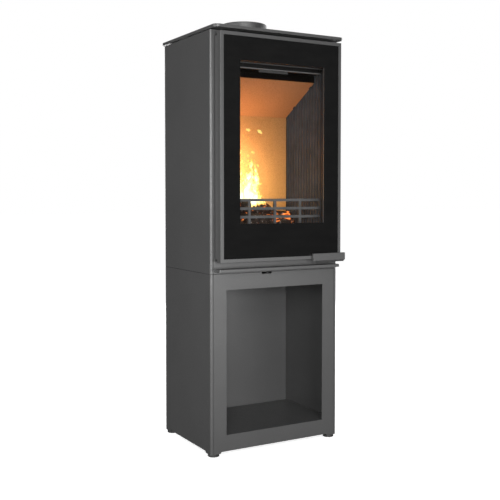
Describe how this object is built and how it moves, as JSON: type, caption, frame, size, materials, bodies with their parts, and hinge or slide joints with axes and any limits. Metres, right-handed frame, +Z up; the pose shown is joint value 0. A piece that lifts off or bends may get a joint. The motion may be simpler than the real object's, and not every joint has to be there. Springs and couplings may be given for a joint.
{
  "type": "wood burning stove",
  "caption": "Tall free-standing wood burning stove with a glazed hinged door, a turning latch handle, a sliding air lever and an open log store below.",
  "frame": {"origin": "on the floor, under the centre of the stove's overall box", "axes": "+Z up, +X to the right seen from the front, the door faces -Y"},
  "size_m": [0.464, 0.405, 1.35],
  "materials": {
    "casing_paint": "satin",
    "door_paint": "satin",
    "handle_paint": "satin",
    "collar_paint": "matte",
    "inner_steel": "matte",
    "air_control_steel": "matte",
    "zinc_steel": "satin",
    "cast_iron": "matte",
    "insulation_board": "matte",
    "pane_glass": "polished",
    "sealing_rope": "matte",
    "foot_polymer": "matte"
  },
  "bodies": {
    "stove": {"base_left_panel": "casing_paint", "base_right_panel": "casing_paint", "base_rear_panel": "casing_paint", "base_front_frame": "casing_paint", "base_floor": "casing_paint", "body_left_panel": "casing_paint", "body_right_panel": "casing_paint", "body_rear_panel": "casing_paint", "body_front_frame": "casing_paint", "top_plate": "casing_paint", "ledge": "casing_paint", "flue_collar": "collar_paint", "base_top_plate": "inner_steel", "base_floor_rails": "inner_steel", "foot_brackets": "inner_steel", "joining_spacers": "inner_steel", "body_base_plate": "inner_steel", "top_plate_spacers": "inner_steel", "firebox_floor": "inner_steel", "firebox_left_wall": "inner_steel", "firebox_right_wall": "inner_steel", "firebox_rear_wall": "inner_steel", "firebox_step": "inner_steel", "smoke_chamber_rear": "inner_steel", "firebox_top": "inner_steel", "hearth_rails": "inner_steel", "air_wash_channel": "inner_steel", "air_duct": "inner_steel", "air_box": "inner_steel", "air_spigot": "inner_steel", "hinge_ears": "inner_steel", "latch_keeper": "inner_steel", "baffle_supports": "inner_steel", "joining_bolts": "zinc_steel", "casing_screws": "zinc_steel", "collar_bolts": "zinc_steel", "ash_pan": "zinc_steel", "grate": "cast_iron", "hearth_plate": "cast_iron", "left_lining": "cast_iron", "right_lining": "cast_iron", "log_guard": "cast_iron", "rear_lining": "insulation_board", "baffle": "insulation_board"},
    "door": {"door_frame": "door_paint", "door_glass": "pane_glass", "door_inner_frame": "inner_steel", "hinge_pins": "zinc_steel", "glass_gasket": "sealing_rope", "door_gasket": "sealing_rope", "glass_clips": "zinc_steel"},
    "latch": {"handle": "handle_paint", "latch_spindle": "zinc_steel", "latch_tongue": "zinc_steel"},
    "air_control": {"air_lever": "air_control_steel", "air_shutter": "air_control_steel"},
    "foot_front_left": {"foot_front_left": "foot_polymer"},
    "foot_front_right": {"foot_front_right": "foot_polymer"},
    "foot_rear_left": {"foot_rear_left": "foot_polymer"},
    "foot_rear_right": {"foot_rear_right": "foot_polymer"}
  },
  "joints": [
    {"name": "door_hinge", "type": "hinge", "parent": "stove", "child": "door", "pos_m": [-0.207, -0.1615, 0.93], "axis": [0, 0, -1], "range_deg": [0, 90]},
    {"name": "handle_turn", "type": "hinge", "parent": "door", "child": "latch", "pos_m": [0.2103, -0.1909, 0.5976], "axis": [0, 1, 0], "range_deg": [-10, 60]},
    {"name": "air_slide", "type": "slide", "parent": "stove", "child": "air_control", "axis": [1, 0, 0], "range_m": [-0.011, 0.011]},
    {"name": "foot_front_left_screw", "type": "slide", "parent": "stove", "child": "foot_front_left", "axis": [0, 0, -1], "range_m": [0, 0.012]},
    {"name": "foot_front_right_screw", "type": "slide", "parent": "stove", "child": "foot_front_right", "axis": [0, 0, -1], "range_m": [0, 0.012]},
    {"name": "foot_rear_left_screw", "type": "slide", "parent": "stove", "child": "foot_rear_left", "axis": [0, 0, -1], "range_m": [0, 0.012]},
    {"name": "foot_rear_right_screw", "type": "slide", "parent": "stove", "child": "foot_rear_right", "axis": [0, 0, -1], "range_m": [0, 0.012]}
  ]
}
